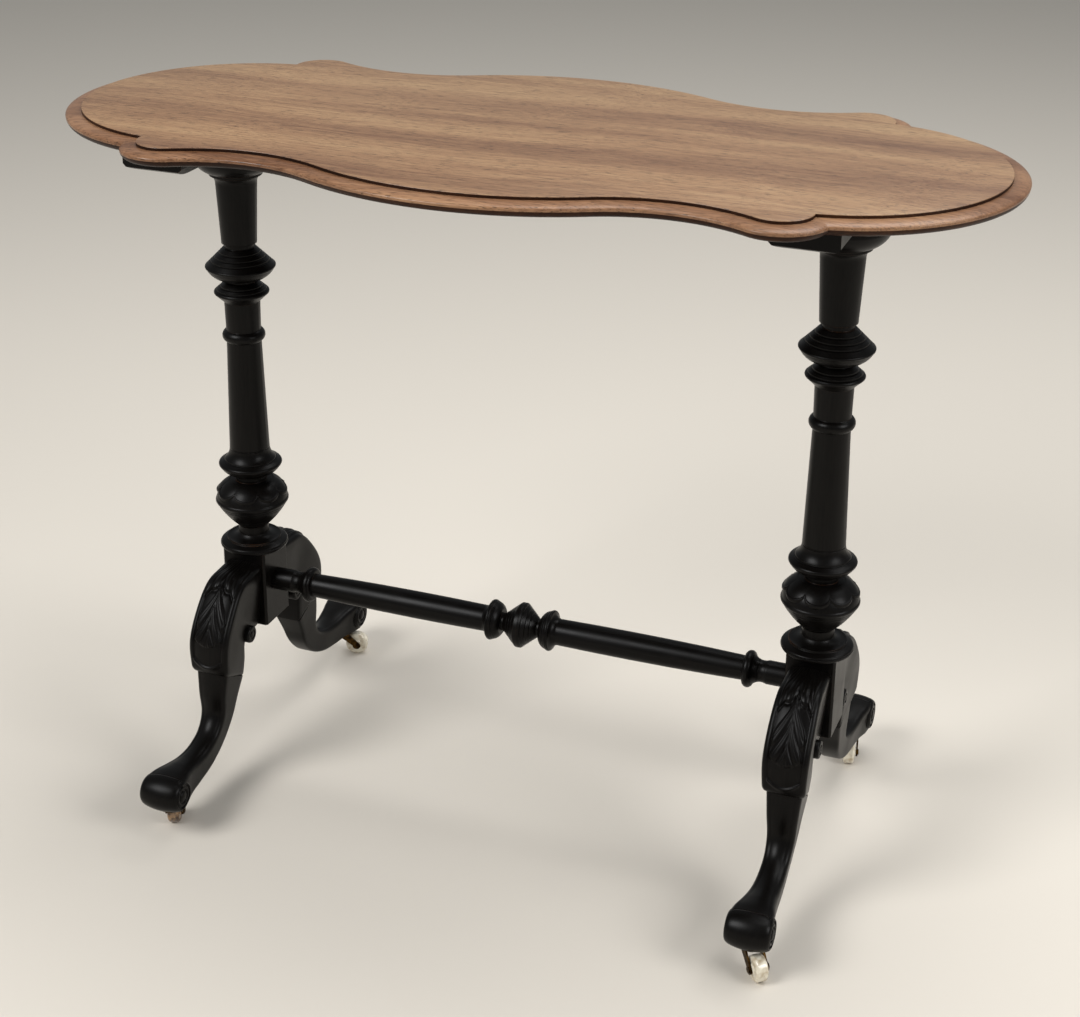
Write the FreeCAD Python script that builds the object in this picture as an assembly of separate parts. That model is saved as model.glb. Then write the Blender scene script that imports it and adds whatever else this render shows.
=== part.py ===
import FreeCAD, Part
import math
import os

# A Victorian centre table. A walnut top of curved outline, with a thumb moulding round its edge, is screwed
# to two bearers on turned, ebonised columns. Each column stands on a square block with two cabriole legs,
# a turned stretcher joins the blocks, and each foot runs on a brass castor with a porcelain wheel.
# Millimetres. The origin is on the floor under the middle of the top, +X along the length, -Y the front.

# The whole table
TABLE_HEIGHT = 703.0
TOP_LENGTH = 908.0
TOP_WIDTH = 442.0
COLUMN_FROM_END = 154.0

# Outline of the top: rounded ends, a small ear beside each end, a hollow waist and a broad belly
END_RADIUS = 166.0
EAR_RADIUS = 43.0
EAR_FROM_END = 174.0
EAR_FROM_AXIS = 153.0
WAIST_RADIUS = 136.0
BELLY_RADIUS = 280.0

# Edge moulding of the top: a small step round the flat, a flat thumb and a round nose under it
TOP_THICKNESS = 15.0
STEP_DEPTH = 3.2
THUMB_WIDTH = 15.0
NOSE_RADIUS = 8.0
THUMB_FACETS = 5
NOSE_FACETS = 3

# Bearers under the top, thinner towards their ends, with their lower edges chamfered
BEARER_LENGTH = 300.0
BEARER_WIDTH = 60.0
BEARER_THICKNESS = 25.0
BEARER_END_THICKNESS = 16.0
BEARER_TAPER_LENGTH = 45.0
BEARER_TAPER_BOW = 3.0
BEARER_CHAMFER = 12.0

# Screws that hold the top to the bearers
TOP_SCREW_RADIUS = 2.2
TOP_SCREW_HEAD_RADIUS = 4.2
TOP_SCREW_HEAD_HEIGHT = 2.5
TOP_SCREW_BITE = 9.0
TOP_SCREW_PLACES = (-98.0, -62.0, 62.0, 98.0)

# How far a round, a flat bowl or a hollow of a turning stands off its chord, as a share of the chord
ROUND = 0.13
BOWL = 0.04
HOLLOW = -0.16

# Column turnings from the block upwards; the long shaft takes up the rest of the height
COLUMN_TENON_RADIUS = 10.0
COLUMN_TENON_LENGTH = 36.0
DISC_SEAT_RADIUS = 32.5
DISC_RADIUS = 34.8
DISC_HEIGHT = 6.5
DISC_SLOPE_HEIGHT = 2.0
DISC_STEP_RADIUS = 27.5
DISC_STEP_HEIGHT = 2.0
DISC_COVE_HEIGHT = 4.0
BULB_NECK_RADIUS = 15.5
BULB_NECK_HEIGHT = 9.0
BULB_RADIUS = 37.4
BULB_SHOULDER_RADIUS = 36.4
BULB_BOWL_HEIGHT = 26.5
BULB_EDGE_HEIGHT = 4.5
BULB_CROWN_HEIGHT = 19.5
BULB_TOP_RADIUS = 21.0
COLLAR_GROOVE_RADIUS = 16.0
COLLAR_GROOVE_HEIGHT = 7.0
COLLAR_RADIUS = 32.2
COLLAR_SHOULDER_RADIUS = 31.2
COLLAR_BOWL_HEIGHT = 9.5
COLLAR_EDGE_HEIGHT = 4.0
COLLAR_COVE_HEIGHT = 17.0
SHAFT_BOTTOM_RADIUS = 20.3
SHAFT_TOP_RADIUS = 17.4
BEAD_RADIUS = 21.4
BEAD_HEIGHT = 12.0
UPPER_SHAFT_RADIUS = 17.9
UPPER_SHAFT_HEIGHT = 30.0
RING_RADIUS = 27.4
RING_SHOULDER_RADIUS = 26.4
RING_RISE_HEIGHT = 8.0
RING_EDGE_HEIGHT = 3.5
RING_FALL_RADIUS = 16.5
RING_FALL_HEIGHT = 9.0
KNOP_GROOVE_RADIUS = 15.2
KNOP_GROOVE_HEIGHT = 3.0
KNOP_BOTTOM_RADIUS = 18.0
KNOP_BOWL_HEIGHT = 11.5
KNOP_RADIUS = 34.8
KNOP_SHOULDER_RADIUS = 33.8
KNOP_EDGE_HEIGHT = 3.0
KNOP_CONE_HEIGHT = 17.5
KNOP_TOP_RADIUS = 16.5
NECK_GROOVE_RADIUS = 14.6
NECK_GROOVE_HEIGHT = 5.0
NECK_BOTTOM_RADIUS = 17.5
NECK_TOP_RADIUS = 20.4
NECK_HEIGHT = 61.5
CAPITAL_FLARE_HEIGHT = 8.0
CAPITAL_FILLET_RADIUS = 26.0
CAPITAL_FILLET_HEIGHT = 2.5
CAPITAL_COVE_HEIGHT = 16.5
CAPITAL_RADIUS = 42.0
CAPITAL_EDGE_HEIGHT = 15.0
CAPITAL_TENON_LENGTH = 18.0

# Blocks under the columns
BLOCK_BOTTOM = 150.0
BLOCK_HEIGHT = 81.0
BLOCK_WIDTH = 48.0
BLOCK_DEPTH = 50.0
BLOCK_CHAMFER = 2.0

# Stretcher, from its middle outwards; the plain lengths between the rings take up the rest
STRETCHER_HEIGHT = 194.0
CENTRE_KNOP_RADIUS = 22.8
CENTRE_KNOP_FLAT = 2.0
CENTRE_KNOP_HALF = 18.0
CENTRE_GROOVE_RADIUS = 9.2
CENTRE_GROOVE_LENGTH = 3.0
MID_RING_FOOT_RADIUS = 13.0
MID_RING_RISE = 8.5
MID_RING_RADIUS = 20.6
MID_RING_SHOULDER_RADIUS = 19.6
MID_RING_EDGE = 4.0
MID_RING_FALL = 6.0
STRETCHER_INNER_RADIUS = 13.3
STRETCHER_SWELL = 0.006
STRETCHER_OUTER_RADIUS = 12.1
END_RING_RADIUS = 18.2
END_RING_SHOULDER_RADIUS = 14.5
END_RING_LENGTH = 9.0
STUB_FLARE_LENGTH = 14.0
STUB_RADIUS = 11.7
STUB_LENGTH = 22.0
STRETCHER_TENON_RADIUS = 8.0
STRETCHER_TENON_LENGTH = 9.0

# Cabriole legs. Each cross-section has its heading, its thickness and its width. Those of the knee are
# placed out from the block's face and down from its top, those of the shin back from the scroll's axis and
# up from it. Headings are in degrees above level.
LEG_ROOT_WIDTH = 40.0
LEG_ROOT_DROP = 9.5
KNEE_SECTIONS = (
    (16.0, 46.2, -2.0, 71.0, 41.0),
    (33.0, 47.5, -10.0, 68.5, 42.0),
    (50.5, 63.0, -33.0, 60.0, 44.0),
    (59.0, 83.0, -50.0, 62.0, 44.0),
    (61.2, 110.4, -63.0, 53.0, 41.0),
)
KNEE_BACK_NARROWING = 5.5
LIP_OVERHANG = 5.0
LIP_BACK_STEP = 0.4
LIP_SIDE_STEP = 3.5
SHIN_SECTIONS = (
    (112.4, 49.4, -65.0, 39.0, 30.0),
    (107.9, 30.5, -60.0, 31.0, 27.0),
    (94.5, 14.0, -43.0, 27.5, 25.0),
    (74.0, 3.5, -20.0, 27.5, 25.5),
    (47.0, -0.5, -3.0, 29.5, 28.0),
    (26.0, 0.3, 0.0, 33.0, 33.0),
    (13.0, 0.2, 0.0, 36.0, 38.5),
    (3.0, 0.0, 0.0, 37.0, 41.5),
)
SHIN_BACK_NARROWING = 2.0
LEG_FRONT_CROWN = 2.0
LEG_FRONT_EDGE_RADIUS = 5.0
LEG_BACK_EDGE_RADIUS = 3.0
EAR_SCROLL_RADIUS = 9.0
EAR_SCROLL_WIDTH = 42.0
EAR_SCROLL_OUT = 26.0
EAR_SCROLL_RISE = 2.0

# Scroll feet: a roll across the end of each leg, with a sunk ring round an eye on each side
FOOT_REACH = 203.0
ROLL_RADIUS = 18.0
ROLL_WIDTH = 42.0
ROLL_SIDE_RADIUS = 14.5
ROLL_EDGE_WIDTH = 5.5
ROLL_CROWN_RADIUS = 18.6
VOLUTE_RADIUS = 12.5
VOLUTE_DEPTH = 1.6
VOLUTE_EYE_RADIUS = 5.0
FOOT_FLAT = 1.0

# Dowels that hold the legs to the blocks
DOWEL_RADIUS = 4.0
DOWEL_IN_BLOCK = 12.0
DOWEL_IN_LEG = 22.0
DOWEL_SPREAD = 40.0

# Castors: a plate with a riveted pivot, a horn with two cheeks, a wheel and its axle
CASTOR_HEIGHT = 31.0
CASTOR_INSET = 8.0
CASTOR_TRAIL = 16.0
PLATE_RADIUS = 14.0
PLATE_THICKNESS = 2.0
PIVOT_RADIUS = 3.5
PIVOT_HEAD_RADIUS = 5.0
PIVOT_HEAD_HEIGHT = 1.9
HORN_RADIUS = 8.0
HORN_THICKNESS = 4.7
HORN_BRIDGE = 5.0
CHEEK_THICKNESS = 1.9
CHEEK_BACK = 3.0
WHEEL_RADIUS = 12.5
WHEEL_WIDTH = 14.0
WHEEL_EDGE = 3.0
WHEEL_HUB_RADIUS = 4.5
WHEEL_DISH = 1.0
AXLE_RADIUS = 1.8
AXLE_HEAD_RADIUS = 3.0
AXLE_HEAD_HEIGHT = 1.0
AXLE_BOSS_RADIUS = 4.6
PLATE_SCREW_COUNT = 3
PLATE_SCREW_CIRCLE = 11.0
PLATE_SCREW_RADIUS = 1.3
PLATE_SCREW_HEAD_RADIUS = 2.4
PLATE_SCREW_HEAD_HEIGHT = 1.2
PLATE_SCREW_LENGTH = 9.0

# Which way each castor trails at rest, in degrees from +X
CASTOR_HEADINGS = {"front_left": 108.0, "front_right": -50.0, "back_left": 20.0, "back_right": -79.0}

# Clearances
FIT_CLEARANCE = 0.05
SOCKET_CLEARANCE = 0.5
TURNING_CLEARANCE = 0.3

# Levels and places that follow from the sizes above
TOP_UNDERSIDE = TABLE_HEIGHT - TOP_THICKNESS
BEARER_UNDERSIDE = TOP_UNDERSIDE - BEARER_THICKNESS
BLOCK_TOP = BLOCK_BOTTOM + BLOCK_HEIGHT
COLUMN_X = TOP_LENGTH / 2 - COLUMN_FROM_END
FOOT_HEIGHT = CASTOR_HEIGHT + ROLL_RADIUS - FOOT_FLAT
CASTOR_REACH = FOOT_REACH - CASTOR_INSET
PLATE_UNDERSIDE = CASTOR_HEIGHT - PLATE_THICKNESS
HORN_TOP = PLATE_UNDERSIDE - TURNING_CLEARANCE
HORN_UNDERSIDE = HORN_TOP - HORN_THICKNESS
CHEEK_INSIDE = WHEEL_WIDTH / 2 + TURNING_CLEARANCE
CHEEK_OUTSIDE = CHEEK_INSIDE + CHEEK_THICKNESS
X_AXIS = FreeCAD.Vector(1, 0, 0)
Y_AXIS = FreeCAD.Vector(0, 1, 0)
Z_AXIS = FreeCAD.Vector(0, 0, 1)
ENDS = (("left", -1), ("right", 1))
SIDES = (("front", -1), ("back", 1))


def point(x, y, z):
    return FreeCAD.Vector(x, y, z)


def cylinder(radius, low, high, x=0.0, y=0.0):
    return Part.makeCylinder(radius, high - low, point(x, y, low), Z_AXIS)


def rotated(shape, degrees, axis):
    copy = shape.copy()
    copy.rotate(point(0, 0, 0), axis, degrees)
    return copy


def moved(shape, x, y, z):
    copy = shape.copy()
    copy.translate(point(x, y, z))
    return copy


def arc(start, middle, end):
    return Part.Arc(start, middle, end).toShape()


def save(name, shape):
    shape.exportStep("parts/" + name + ".step")


class Outline:
    """The outline of a turning, followed upwards from its first radius and height."""

    def __init__(self, radius, height):
        self.first = point(0, 0, height)
        self.at = point(radius, 0, height)
        self.edges = [Part.makeLine(self.first, self.at)]

    def line(self, radius, rise=0.0):
        end = point(radius, 0, self.at.z + rise)
        self.edges.append(Part.makeLine(self.at, end))
        self.at = end

    def curve(self, radius, rise, fullness):
        """An arc that stands out from its chord by a share of the chord's length, or in if negative."""
        end = point(radius, 0, self.at.z + rise)
        chord = end - self.at
        middle = (self.at + end) * 0.5 + point(chord.z, 0, -chord.x) * fullness
        self.edges.append(arc(self.at, middle, end))
        self.at = end

    def bead(self, peak, rise):
        """An arc out to the peak and back to the same radius."""
        end = point(self.at.x, 0, self.at.z + rise)
        self.edges.append(arc(self.at, point(peak, 0, self.at.z + rise / 2), end))
        self.at = end

    def solid(self):
        last = point(0, 0, self.at.z)
        edges = self.edges + [Part.makeLine(self.at, last), Part.makeLine(last, self.first)]
        return Part.Face(Part.Wire(edges)).revolve(point(0, 0, 0), Z_AXIS, 360)


def circle_meeting(first, first_radius, second, second_radius):
    """Where two circles cross, on the right of the way from the first centre to the second."""
    across = (second[0] - first[0], second[1] - first[1])
    apart = math.hypot(*across)
    along = (apart ** 2 + first_radius ** 2 - second_radius ** 2) / (2 * apart)
    aside = math.sqrt(first_radius ** 2 - along ** 2)
    unit = (across[0] / apart, across[1] / apart)
    return (first[0] + along * unit[0] + aside * unit[1], first[1] + along * unit[1] - aside * unit[0])


def toward(start, goal, distance):
    share = distance / math.hypot(goal[0] - start[0], goal[1] - start[1])
    return (start[0] + share * (goal[0] - start[0]), start[1] + share * (goal[1] - start[1]))


# The top
def top_outline(inset, height):
    """The top's outline, all of arcs, moved inwards by the inset. Ears and ends meet in a sharp notch."""
    end_centre = (TOP_LENGTH / 2 - END_RADIUS, 0.0)
    ear_centre = (TOP_LENGTH / 2 - EAR_FROM_END, EAR_FROM_AXIS)
    belly_centre = (0.0, TOP_WIDTH / 2 - BELLY_RADIUS)
    waist_centre = circle_meeting(ear_centre, EAR_RADIUS + WAIST_RADIUS, belly_centre,
                                  BELLY_RADIUS + WAIST_RADIUS)
    end_radius = END_RADIUS - inset
    ear_radius = EAR_RADIUS - inset
    belly_radius = BELLY_RADIUS - inset
    notch = circle_meeting(end_centre, end_radius, ear_centre, ear_radius)
    ear_join = toward(ear_centre, waist_centre, ear_radius)
    belly_join = toward(belly_centre, waist_centre, belly_radius)
    ear_middle = (ear_centre[0], ear_centre[1] + ear_radius)
    waist_middle = (waist_centre[0], waist_centre[1] - WAIST_RADIUS - inset)
    corner = [(notch, ear_middle, ear_join), (ear_join, waist_middle, belly_join)]
    far_corner = [tuple((-x, y) for x, y in reversed(run)) for run in reversed(corner)]
    end = ((notch[0], -notch[1]), (end_centre[0] + end_radius, 0.0), notch)
    belly = (belly_join, (0.0, belly_centre[1] + belly_radius), (-belly_join[0], belly_join[1]))
    half = [end] + corner + [belly] + far_corner
    other_half = [tuple((-x, -y) for x, y in run) for run in half]
    return Part.Wire([arc(*(point(x, y, height) for x, y in run)) for run in half + other_half])


def make_top():
    thumb_drop = TOP_THICKNESS - STEP_DEPTH - NOSE_RADIUS
    rings = [(THUMB_WIDTH, TABLE_HEIGHT)]
    for facet in range(THUMB_FACETS + 1):
        angle = math.radians(90 * facet / THUMB_FACETS)
        drop = STEP_DEPTH + thumb_drop * (1 - math.cos(angle))
        rings.append((THUMB_WIDTH * (1 - math.sin(angle)), TABLE_HEIGHT - drop))
    for facet in range(1, NOSE_FACETS + 1):
        angle = math.radians(90 * facet / NOSE_FACETS)
        rise = NOSE_RADIUS * (1 - math.sin(angle))
        rings.append((NOSE_RADIUS * (1 - math.cos(angle)), TOP_UNDERSIDE + rise))
    top = Part.makeLoft([top_outline(inset, height) for inset, height in rings], True, True)
    hole_top = TOP_UNDERSIDE + TOP_SCREW_BITE + SOCKET_CLEARANCE
    for _, side in ENDS:
        for place in TOP_SCREW_PLACES:
            hole = cylinder(TOP_SCREW_RADIUS + FIT_CLEARANCE, TOP_UNDERSIDE, hole_top, side * COLUMN_X, place)
            top = top.cut(hole)
    return top


# Bearers and their screws
def top_screw(extra):
    """A countersunk screw with its head at height 0, or its hole when something is added to its radii."""
    screw = Outline(TOP_SCREW_HEAD_RADIUS + extra, 0.0)
    screw.line(TOP_SCREW_RADIUS + extra, TOP_SCREW_HEAD_HEIGHT)
    screw.line(TOP_SCREW_RADIUS + extra, BEARER_THICKNESS + TOP_SCREW_BITE - TOP_SCREW_HEAD_HEIGHT)
    return screw.solid()


def make_bearer(x):
    left = x - BEARER_WIDTH / 2
    right = x + BEARER_WIDTH / 2
    half = BEARER_LENGTH / 2
    flat = half - BEARER_TAPER_LENGTH
    tip = TOP_UNDERSIDE - BEARER_END_THICKNESS
    bow_place = (flat + half) / 2
    bow_height = (BEARER_UNDERSIDE + tip) / 2 - BEARER_TAPER_BOW
    side_edges = []
    for way in (-1, 1):
        heel = point(left, way * half, TOP_UNDERSIDE)
        toe = point(left, way * half, tip)
        turn = point(left, way * flat, BEARER_UNDERSIDE)
        side_edges += [Part.makeLine(heel, toe), arc(toe, point(left, way * bow_place, bow_height), turn)]
    side_edges.append(Part.makeLine(point(left, -half, TOP_UNDERSIDE), point(left, half, TOP_UNDERSIDE)))
    side_edges.append(Part.makeLine(point(left, -flat, BEARER_UNDERSIDE), point(left, flat, BEARER_UNDERSIDE)))
    side_face = Part.Face(Part.Wire(Part.__sortEdges__(side_edges)))
    chamfer_height = BEARER_UNDERSIDE + BEARER_CHAMFER
    corners = [(left, TOP_UNDERSIDE), (right, TOP_UNDERSIDE), (right, chamfer_height),
               (right - BEARER_CHAMFER, BEARER_UNDERSIDE), (left + BEARER_CHAMFER, BEARER_UNDERSIDE),
               (left, chamfer_height), (left, TOP_UNDERSIDE)]
    end_face = Part.Face(Part.makePolygon([point(across, -half, height) for across, height in corners]))
    bearer = side_face.extrude(X_AXIS * BEARER_WIDTH).common(end_face.extrude(Y_AXIS * BEARER_LENGTH))
    socket_top = BEARER_UNDERSIDE + CAPITAL_TENON_LENGTH + SOCKET_CLEARANCE
    bearer = bearer.cut(cylinder(COLUMN_TENON_RADIUS + FIT_CLEARANCE, BEARER_UNDERSIDE, socket_top, x))
    for place in TOP_SCREW_PLACES:
        bearer = bearer.cut(moved(top_screw(FIT_CLEARANCE), x, place, BEARER_UNDERSIDE))
    return bearer


def make_bearer_screws():
    places = [(side * COLUMN_X, place) for _, side in ENDS for place in TOP_SCREW_PLACES]
    return Part.makeCompound([moved(top_screw(0.0), x, y, BEARER_UNDERSIDE) for x, y in places])


# Columns
def make_column():
    column = Outline(COLUMN_TENON_RADIUS, BLOCK_TOP - COLUMN_TENON_LENGTH)
    column.line(COLUMN_TENON_RADIUS, COLUMN_TENON_LENGTH)
    column.line(DISC_SEAT_RADIUS)
    column.bead(DISC_RADIUS, DISC_HEIGHT)
    column.line(DISC_STEP_RADIUS, DISC_SLOPE_HEIGHT)
    column.line(DISC_STEP_RADIUS, DISC_STEP_HEIGHT)
    column.curve(BULB_NECK_RADIUS, DISC_COVE_HEIGHT, HOLLOW)
    column.line(BULB_NECK_RADIUS, BULB_NECK_HEIGHT)
    column.curve(BULB_SHOULDER_RADIUS, BULB_BOWL_HEIGHT, BOWL)
    column.bead(BULB_RADIUS, BULB_EDGE_HEIGHT)
    column.curve(BULB_TOP_RADIUS, BULB_CROWN_HEIGHT, ROUND)
    column.line(COLLAR_GROOVE_RADIUS)
    column.line(COLLAR_GROOVE_RADIUS, COLLAR_GROOVE_HEIGHT)
    column.curve(COLLAR_SHOULDER_RADIUS, COLLAR_BOWL_HEIGHT, ROUND)
    column.bead(COLLAR_RADIUS, COLLAR_EDGE_HEIGHT)
    column.curve(SHAFT_BOTTOM_RADIUS, COLLAR_COVE_HEIGHT, HOLLOW)
    neck_bottom = BEARER_UNDERSIDE - CAPITAL_EDGE_HEIGHT - CAPITAL_COVE_HEIGHT - CAPITAL_FILLET_HEIGHT
    neck_bottom -= CAPITAL_FLARE_HEIGHT + NECK_HEIGHT
    ring_bottom = neck_bottom - NECK_GROOVE_HEIGHT - KNOP_CONE_HEIGHT - KNOP_EDGE_HEIGHT - KNOP_BOWL_HEIGHT
    ring_bottom -= KNOP_GROOVE_HEIGHT + RING_FALL_HEIGHT + RING_EDGE_HEIGHT + RING_RISE_HEIGHT
    shaft_top = ring_bottom - UPPER_SHAFT_HEIGHT - BEAD_HEIGHT
    column.line(SHAFT_TOP_RADIUS, shaft_top - column.at.z)
    column.bead(BEAD_RADIUS, BEAD_HEIGHT)
    column.line(UPPER_SHAFT_RADIUS, UPPER_SHAFT_HEIGHT)
    column.line(RING_SHOULDER_RADIUS, RING_RISE_HEIGHT)
    column.bead(RING_RADIUS, RING_EDGE_HEIGHT)
    column.line(RING_FALL_RADIUS, RING_FALL_HEIGHT)
    column.line(KNOP_GROOVE_RADIUS)
    column.line(KNOP_GROOVE_RADIUS, KNOP_GROOVE_HEIGHT)
    column.line(KNOP_BOTTOM_RADIUS)
    column.curve(KNOP_SHOULDER_RADIUS, KNOP_BOWL_HEIGHT, ROUND)
    column.bead(KNOP_RADIUS, KNOP_EDGE_HEIGHT)
    column.line(KNOP_TOP_RADIUS, KNOP_CONE_HEIGHT)
    column.line(NECK_GROOVE_RADIUS)
    column.line(NECK_GROOVE_RADIUS, NECK_GROOVE_HEIGHT)
    column.line(NECK_BOTTOM_RADIUS)
    column.line(NECK_TOP_RADIUS, NECK_HEIGHT)
    column.curve(CAPITAL_FILLET_RADIUS, CAPITAL_FLARE_HEIGHT, HOLLOW)
    column.line(CAPITAL_FILLET_RADIUS, CAPITAL_FILLET_HEIGHT)
    column.curve(CAPITAL_RADIUS, CAPITAL_COVE_HEIGHT, ROUND)
    column.line(CAPITAL_RADIUS, CAPITAL_EDGE_HEIGHT)
    column.line(COLUMN_TENON_RADIUS)
    column.line(COLUMN_TENON_RADIUS, CAPITAL_TENON_LENGTH)
    return column.solid()


# Blocks, with sockets for the column, the stretcher and the legs' dowels
def dowel_heights():
    middle = BLOCK_BOTTOM + BLOCK_HEIGHT / 2
    return (middle - DOWEL_SPREAD / 2, middle + DOWEL_SPREAD / 2)


def dowel(extra):
    """A dowel that points out along +Y from the block's face, or its hole when something is added."""
    long = DOWEL_IN_BLOCK + DOWEL_IN_LEG
    reach = BLOCK_DEPTH / 2 - DOWEL_IN_BLOCK
    side_room = FIT_CLEARANCE if extra else 0.0
    return Part.makeCylinder(DOWEL_RADIUS + side_room, long + 2 * extra, point(0, reach - extra, 0), Y_AXIS)


def make_block(side):
    block = Part.makeBox(BLOCK_WIDTH, BLOCK_DEPTH, BLOCK_HEIGHT,
                         point(-BLOCK_WIDTH / 2, -BLOCK_DEPTH / 2, BLOCK_BOTTOM))
    upright = [edge for edge in block.Edges if edge.BoundBox.ZLength > BLOCK_HEIGHT / 2]
    block = block.makeChamfer(BLOCK_CHAMFER, upright)
    socket_bottom = BLOCK_TOP - COLUMN_TENON_LENGTH - SOCKET_CLEARANCE
    block = block.cut(cylinder(COLUMN_TENON_RADIUS + FIT_CLEARANCE, socket_bottom, BLOCK_TOP))
    inner_face = point(-side * BLOCK_WIDTH / 2, 0, STRETCHER_HEIGHT)
    block = block.cut(Part.makeCylinder(STRETCHER_TENON_RADIUS + FIT_CLEARANCE,
                                        STRETCHER_TENON_LENGTH + SOCKET_CLEARANCE, inner_face, X_AXIS * side))
    for height in dowel_heights():
        hole = moved(dowel(SOCKET_CLEARANCE), 0, 0, height)
        block = block.cut(hole).cut(rotated(hole, 180, Z_AXIS))
    return moved(block, side * COLUMN_X, 0, 0)


# Stretcher
def make_stretcher():
    half_length = COLUMN_X - BLOCK_WIDTH / 2
    bar = Outline(CENTRE_KNOP_RADIUS, 0.0)
    bar.line(CENTRE_KNOP_RADIUS, CENTRE_KNOP_FLAT)
    bar.line(CENTRE_GROOVE_RADIUS, CENTRE_KNOP_HALF - CENTRE_KNOP_FLAT)
    bar.line(CENTRE_GROOVE_RADIUS, CENTRE_GROOVE_LENGTH)
    bar.line(MID_RING_FOOT_RADIUS)
    bar.curve(MID_RING_SHOULDER_RADIUS, MID_RING_RISE, ROUND)
    bar.bead(MID_RING_RADIUS, MID_RING_EDGE)
    bar.curve(STRETCHER_INNER_RADIUS, MID_RING_FALL, HOLLOW)
    plain_end = half_length - STUB_LENGTH - STUB_FLARE_LENGTH - END_RING_LENGTH
    bar.curve(STRETCHER_OUTER_RADIUS, plain_end - bar.at.z, STRETCHER_SWELL)
    bar.line(END_RING_SHOULDER_RADIUS)
    bar.bead(END_RING_RADIUS, END_RING_LENGTH)
    bar.curve(STUB_RADIUS, STUB_FLARE_LENGTH, HOLLOW)
    bar.line(STUB_RADIUS, STUB_LENGTH)
    bar.line(STRETCHER_TENON_RADIUS)
    bar.line(STRETCHER_TENON_RADIUS, STRETCHER_TENON_LENGTH)
    right = rotated(bar.solid(), 90, Y_AXIS)
    whole = right.fuse(rotated(right, 180, Z_AXIS)).removeSplitter()
    return moved(whole, 0, 0, STRETCHER_HEIGHT)


# Legs, made pointing out along +Y from the column's axis
def leg_section(reach, height, heading, thickness, width, narrowing):
    """A cross-section square to the leg's run: crowned in front, narrower and flat behind, edges rounded."""
    angle = math.radians(heading)
    front = thickness / 2 - LEG_FRONT_CROWN
    back = -thickness / 2
    side = width / 2
    back_side = side - narrowing
    diagonal = 1 - math.sqrt(0.5)

    def at(across, out):
        return point(across, reach - out * math.sin(angle), height + out * math.cos(angle))

    def corner(across, out, radius):
        """The rounded corner as its start on the side, its middle and its end on the front or back."""
        side_way = math.copysign(radius, across)
        out_way = math.copysign(radius, out)
        return (at(across, out - out_way), at(across - side_way * diagonal, out - out_way * diagonal),
                at(across - side_way, out))

    front_right = corner(side, front, LEG_FRONT_EDGE_RADIUS)
    front_left = corner(-side, front, LEG_FRONT_EDGE_RADIUS)
    back_right = corner(back_side, back, LEG_BACK_EDGE_RADIUS)
    back_left = corner(-back_side, back, LEG_BACK_EDGE_RADIUS)
    return Part.Wire([
        arc(*front_right),
        arc(front_right[2], at(0.0, front + LEG_FRONT_CROWN), front_left[2]),
        arc(*reversed(front_left)),
        Part.makeLine(front_left[0], back_left[0]),
        arc(*back_left),
        Part.makeLine(back_left[2], back_right[2]),
        arc(*reversed(back_right)),
        Part.makeLine(back_right[0], front_right[0]),
    ])


def scroll_roll():
    """The roll of a scroll foot, turned about Z: a crowned barrel with a sunk ring round an eye."""
    half = ROLL_WIDTH / 2
    roll = Outline(VOLUTE_EYE_RADIUS, -half)
    roll.line(VOLUTE_EYE_RADIUS, VOLUTE_DEPTH)
    roll.line(VOLUTE_RADIUS)
    roll.line(VOLUTE_RADIUS, -VOLUTE_DEPTH)
    roll.line(ROLL_SIDE_RADIUS)
    roll.curve(ROLL_RADIUS, ROLL_EDGE_WIDTH, ROUND)
    roll.bead(ROLL_CROWN_RADIUS, ROLL_WIDTH - 2 * ROLL_EDGE_WIDTH)
    roll.curve(ROLL_SIDE_RADIUS, ROLL_EDGE_WIDTH, ROUND)
    roll.line(VOLUTE_RADIUS)
    roll.line(VOLUTE_RADIUS, -VOLUTE_DEPTH)
    roll.line(VOLUTE_EYE_RADIUS)
    roll.line(VOLUTE_EYE_RADIUS, VOLUTE_DEPTH)
    return roll.solid()


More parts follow.
